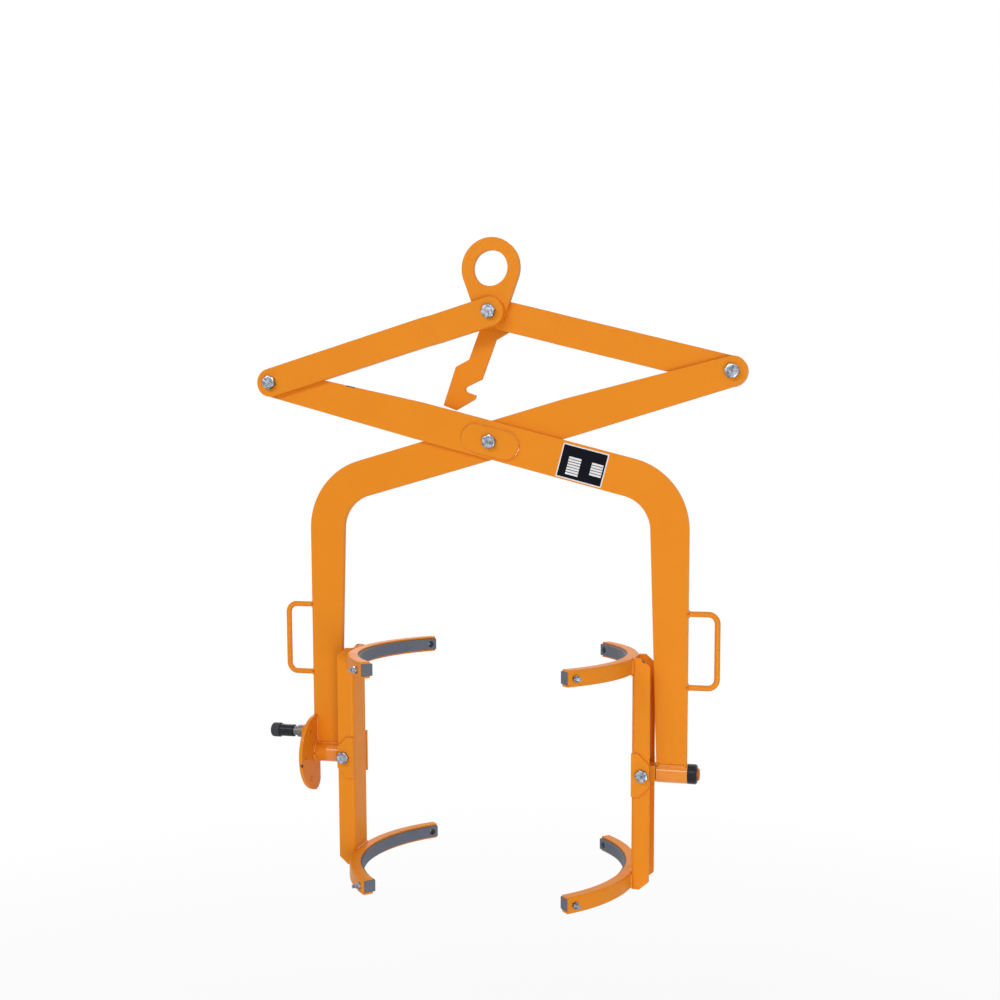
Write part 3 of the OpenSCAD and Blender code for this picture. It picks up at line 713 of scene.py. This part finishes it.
# Plunger's grip and cap: a plastic tube that slides over the sleeve's thinner end,
# and a moulded rubber cap pressed on the same pin.
grip_low, grip_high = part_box("plunger_grip")
grip_r = (grip_high.z - grip_low.z) / 2
grip_long = grip_high.x - grip_low.x
grip_bore, bore_long = 0.0106, 0.0236
pin_hole = 0.00505
tube = bmesh.new()
raise_rings(tube, (
    (pin_hole, bore_long),
    (grip_bore, bore_long),
    (grip_bore, 0.0006),
    (grip_bore + 0.0006, 0),
    (grip_r - 0.0008, 0),
    (grip_r - 0.0002, 0.0002),
    (grip_r, 0.0008),
    (grip_r, grip_long - 0.0006),
    (grip_r - 0.0006, grip_long),
    (pin_hole, grip_long),
    (pin_hole, bore_long),
))
close_up(tube)
grip_mid = middle("plunger_grip")
put(tube, (grip_high.x, grip_mid.y, grip_mid.z), left_up)
add_piece(
    "plunger_grip_turned", tube, "plunger", "black_plastic", black_plastic, "plunger_grip"
)
cap_low, cap_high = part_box("plunger_cap")
cap_r = (cap_high.z - cap_low.z) / 2
cap_long = cap_high.x - cap_low.x
cap_mid = middle("plunger_cap")
cap_round = 0.0062
bend = [math.radians(15 * i) for i in range(7)]
cap = bmesh.new()
raise_rings(cap, (
    (pin_hole, 0.0125),
    (pin_hole, 0),
    (cap_r - 0.0009, 0),
    (cap_r - 0.0002, 0.0003),
    (cap_r, 0.0010),
    *(
        (
            cap_r - cap_round * (1 - math.cos(turn)),
            cap_long - cap_round * (1 - math.sin(turn)),
        )
        for turn in bend
    ),
    (0.004, cap_long),
    (0.0015, cap_long - 0.0006),
))
close_up(cap)
put(cap, (cap_high.x, cap_mid.y, cap_mid.z), left_up)
add_piece("plunger_cap_moulded", cap, "plunger", "black_plastic", cap_rubber, "plunger_cap")

# Rubber pads: dark grey, matt and dusty, with a fine moulded grain.
rubber_dark = (0.115, 0.130, 0.168, 1)
rubber_dusty = (0.160, 0.176, 0.212, 1)
rubber = Finish("grey_rubber")
edge, rounded = edges(rubber, 0.0012)
dust = steps(rubber, grain(rubber, 0.03, 5), (0.4, 0), (0.8, 1))
mask = dust * 0.5 + edge * 0.5
colour = tint(rubber, mask, rubber_dark, rubber_dusty)
grey_rubber = surface(
    rubber, colour, 0.72 + dust * 0.12, grain(rubber, 0.0016, 3) * 0.8,
    normal=rounded, depth=0.0002,
)
looks = {
    "zinc": zinc_plate,
    "bare_steel": turned_steel,
    "black_plastic": black_plastic,
    "rubber": grey_rubber,
}
for name in nodes:
    if slots[name] in looks:
        dress(name, looks[slots[name]])

# Weld beads: where the legs sit on the bearing tubes, the index plate on tube and
# leg, the handles, the plates round the middle pivot, and the jaws on the beams.
# Laid by hand, with a ripple every few millimetres, and painted over.
bead_r = {
    "tube_face": 0.0042,
    "tube_edge": 0.0040,
    "handle": 0.0026,
    "doubler": 0.0024,
    "disc": 0.0038,
    "disc_edge": 0.0030,
    "jaw_side": 0.0034,
    "jaw_back": 0.0032,
    "cheek": 0.0022,
}
ripple = 0.0016
end_gap = 0.002
random.seed(11)


def along_path(points, spacing):
    """Points at an even spacing on a path of straight parts."""
    spots = [Vector(point) for point in points]
    lengths = [(b - a).length for a, b in zip(spots, spots[1:])]
    count = max(4, round(sum(lengths) / spacing))
    found = []
    for step in range(count + 1):
        left = sum(lengths) * step / count
        part = 0
        while part < len(lengths) - 1 and left > lengths[part]:
            left -= lengths[part]
            part += 1
        found.append(spots[part].lerp(spots[part + 1], min(1.0, left / lengths[part])))
    return found


def sweep(mesh, poses, around, closed):
    """Draws a circle through all poses, and ends it with faces or on its start."""
    made = bmesh.ops.create_circle(mesh, segments=around, radius=1, cap_ends=not closed)
    ring = made["verts"]
    loop = list({link for vert in ring for link in vert.link_edges})
    bmesh.ops.transform(mesh, matrix=poses[0], verts=ring)
    for before, pose in zip(poses, poses[1:]):
        spread = bmesh.ops.extrude_edge_only(mesh, edges=loop)["geom"]
        ring = [part for part in spread if isinstance(part, bmesh.types.BMVert)]
        loop = [
            part
            for part in spread
            if isinstance(part, bmesh.types.BMEdge)
            and all(end in ring for end in part.verts)
        ]
        bmesh.ops.transform(mesh, matrix=pose @ before.inverted(), verts=ring)
    if not closed:
        bmesh.ops.holes_fill(mesh, edges=loop, sides=0)


def bead(mesh, points, radius):
    """A rippled bead of weld; it closes where its path does."""
    spots = along_path(points, ripple)
    closed = (spots[0] - spots[-1]).length < ripple
    last = len(spots) - 1
    poses = []
    for step, spot in enumerate(spots):
        ahead = spots[min(step + 1, last)] - spots[max(step - 1, 0)]
        if closed and step in (0, last):
            ahead = spots[1] - spots[-2]
        ends = 1.0 if closed else min(1.0, 0.4 + 0.3 * min(step, last - step))
        size = radius * ends * ((1.08, 0.96)[step % 2] + random.uniform(-0.05, 0.05))
        turn = ahead.to_track_quat("Z", "Y").to_matrix().to_4x4()
        poses.append(Matrix.Translation(spot) @ turn @ Matrix.Scale(size, 4))
    if closed:
        poses[-1] = poses[0]
    part = bmesh.new()
    sweep(part, poses, 8, closed)
    close_up(part)
    into(mesh, part)


def circle_points(centre, across, up, radius, start=0.0, end=360.0):
    """Points on an arc round a centre, in the plane of two directions."""
    count = max(8, round(abs(end - start) / 7.5))
    turns = [math.radians(start + (end - start) * i / count) for i in range(count + 1)]
    centre, across, up = Vector(centre), Vector(across) * radius, Vector(up) * radius
    return [centre + across * math.cos(turn) + up * math.sin(turn) for turn in turns]


def spatter(mesh, count, place):
    """Small drops of weld that stuck to the plate."""
    for _ in range(count):
        size = random.uniform(0.0005, 0.0012)
        bmesh.ops.create_icosphere(
            mesh, subdivisions=1, radius=size, matrix=Matrix.Translation(place(random))
        )


leg_in, leg_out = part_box("right_bearing_tube")[0].x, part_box("right_handle")[0].x
axis_z = middle("right_bearing_tube").z
tube_r = (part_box("right_bearing_tube")[1].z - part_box("right_bearing_tube")[0].z) / 2
plate = -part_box("front_arm")[0].y
handle_low, handle_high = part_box("right_handle")
bar_r = plate / 2
slope = math.radians(15.1)
doubler_r, doubler_half = 0.0295, 0.0345
Z = Vector((0, 0, 1))
Y = Vector((0, 1, 0))


def leg_welds(mesh):
    """Beads of the right leg, in front of the middle plane."""
    face = tube_r * math.cos(math.asin(plate / tube_r))
    start, stop = leg_in + end_gap, leg_out - end_gap
    front, top = axis_z + face, axis_z + tube_r
    bead(mesh, ((start, -plate, front), (stop, -plate, front)), bead_r["tube_face"])
    bead(mesh, ((start, 0, top), (stop, 0, top)), bead_r["tube_edge"])
    for level in (handle_low.z + bar_r, handle_high.z - bar_r):
        around = circle_points((leg_out, -bar_r, level), Y, Z, bar_r + 0.0005)
        bead(mesh, around, bead_r["handle"])
    u = Vector((math.cos(slope), 0, -math.sin(slope)))
    v = Vector((math.sin(slope), 0, math.cos(slope)))
    centre = Vector((0, -plate - 0.0002, middle("front_doubler").z))
    outline = circle_points(centre + u * doubler_half, u, v, doubler_r, -90, 90)
    outline += circle_points(centre - u * doubler_half, u, v, doubler_r, 90, 270)
    bead(mesh, outline + outline[:1], bead_r["doubler"])
    spatter(mesh, 16, lambda r: (
        r.uniform(start, stop), -plate, front + 0.004 + 0.03 * r.random() ** 2
    ))
    spatter(mesh, 10, lambda r: (
        r.uniform(start, stop), 0, top + 0.004 + 0.025 * r.random() ** 2
    ))


right_welds = bmesh.new()
leg_welds(right_welds)
add_piece("right_leg_welds", right_welds, "front_arm", "orange_paint", thick_paint)

# Left leg: the same beads turned half round the middle axis, and those that hold
# the index plate on its tube and along the leg, with spatter on its face.
left_welds = bmesh.new()
leg_welds(left_welds)
half_turn = Matrix.Rotation(math.pi, 3, "Z")
bmesh.ops.rotate(left_welds, matrix=half_turn, verts=left_welds.verts)
index_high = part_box("index_plate")[1]
inner = index_high.x
bead(left_welds, circle_points((inner, 0, axis_z), Y, Z, tube_r + 0.0005), bead_r["disc"])
for y in (0.0, plate):
    ends = ((inner, y, axis_z + tube_r), (inner, y, index_high.z - 0.003))
    bead(left_welds, ends, bead_r["disc_edge"])
spatter(left_welds, 14, lambda r: (
    inner + 0.0002, r.uniform(-0.045, -0.004), axis_z + r.uniform(0.0, 0.06)
))
add_piece("left_leg_welds", left_welds, "rear_arm", "orange_paint", thick_paint)

# Yokes: beads where the jaws sit on the beam, down its corners and across its
# web, and short ones at the ends of the cheeks.
for side, sign in (("right", 1), ("left", -1)):
    yoke_welds = bmesh.new()
    beam_low, beam_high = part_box(side + "_beam")
    web = min(abs(beam_low.x), abs(beam_high.x))
    half = beam_high.y
    for jaw, inward in (("_upper_jaw", -1), ("_lower_jaw", 1)):
        low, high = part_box(side + jaw)
        outer, inner = sign * (web + 0.0010), sign * (web - 0.0004)
        for y in (-half, half):
            ends = ((outer, y, low.z + end_gap), (outer, y, high.z - end_gap))
            bead(yoke_welds, ends, bead_r["jaw_side"])
        level = (low.z if inward < 0 else high.z) + inward * 0.0004
        ends = ((inner, -half + 0.006, level), (inner, half - 0.006, level))
        bead(yoke_welds, ends, bead_r["jaw_back"])
    cheek_low, cheek_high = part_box(side + "_cheeks")
    for y in (-half, half):
        for level in (cheek_low.z, cheek_high.z):
            ends = ((sign * (web + 0.004), y, level), (sign * (web + 0.014), y, level))
            bead(yoke_welds, ends, bead_r["cheek"])
    add_piece(side + "_yoke_welds", yoke_welds, side + "_yoke", "orange_paint", thick_paint)

# Rating plate: thin printed metal, stuck to the front arm right of the middle
# pivot. Its fields are blank: a white rim, and white boxes on black.
plate_wide, plate_high, plate_deep = 0.1009, 0.0721, 0.0007
plate_at = (0.2002, -plate, -0.4160)
rim = 0.0052
row_step, row_high = 0.078, 0.058
ink_black = (0.003, 0.003, 0.007, 1)
ink_faded = (0.007, 0.007, 0.013, 1)
field_white = (0.82, 0.81, 0.82, 1)
field_dusty = (0.70, 0.69, 0.70, 1)
print_black = Finish("plate_print")
faded = grain(print_black, 0.012, 4)
ink = tint(print_black, faded, ink_black, ink_faded)
plate_print = surface(
    print_black, ink, 0.34 + faded * 0.12, grain(print_black, 0.002, 2),
    depth=0.00005, shine=0.06,
)
print_white = Finish("plate_white")
dusty = grain(print_white, 0.010, 4)
ink = tint(print_white, dusty, field_white, field_dusty)
plate_white = surface(
    print_white, ink, 0.34 + dusty * 0.12, grain(print_white, 0.002, 2), depth=0.00005,
)
sign_plate = bmesh.new()


def raised_box(mesh, u, v, wide, high, low, top, corner, white):
    """A flat box with rounded corners, its face turned up."""
    made = bmesh.ops.create_cube(mesh, size=1)["verts"]
    bmesh.ops.scale(mesh, vec=(wide, high, top - low), verts=made)
    bmesh.ops.translate(mesh, vec=(u, v, (top + low) / 2), verts=made)
    upright = {
        link for vert in made for link in vert.link_edges
        if abs(link.verts[0].co.z - link.verts[1].co.z) > 1e-6
    }
    done = bmesh.ops.bevel(
        mesh, geom=list(upright), offset=corner, segments=3, profile=0.5, affect="EDGES",
        material=-1,
    )
    for face in {face for vert in done["verts"] for face in vert.link_faces}:
        face.material_index = white


raised_box(sign_plate, 0, 0, plate_wide, plate_high, 0, plate_deep * 0.8, 0.0015, 1)
raised_box(
    sign_plate, 0, 0, plate_wide - rim, plate_high - rim, plate_deep * 0.4, plate_deep,
    0.001, 0,
)
for left, right, top, rows in ((0.19, 0.46, 0.33, 7), (0.69, 0.94, 0.34, 5)):
    for row in range(rows):
        raised_box(
            sign_plate,
            ((left + right) / 2 - 0.5) * plate_wide,
            (0.5 - top - row_step * (row + 0.5)) * plate_high,
            (right - left) * plate_wide,
            row_high * plate_high,
            plate_deep * 0.6,
            plate_deep + 0.0001,
            0.0004,
            1,
        )
put(sign_plate, plate_at, Matrix.Rotation(slope, 4, "Y") @ front_up)
bmesh.ops.recalc_face_normals(sign_plate, faces=sign_plate.faces)
made = add_piece("rating_plate", sign_plate, "front_arm", "black_plastic", plate_print)
made.data.materials.append(plate_white)
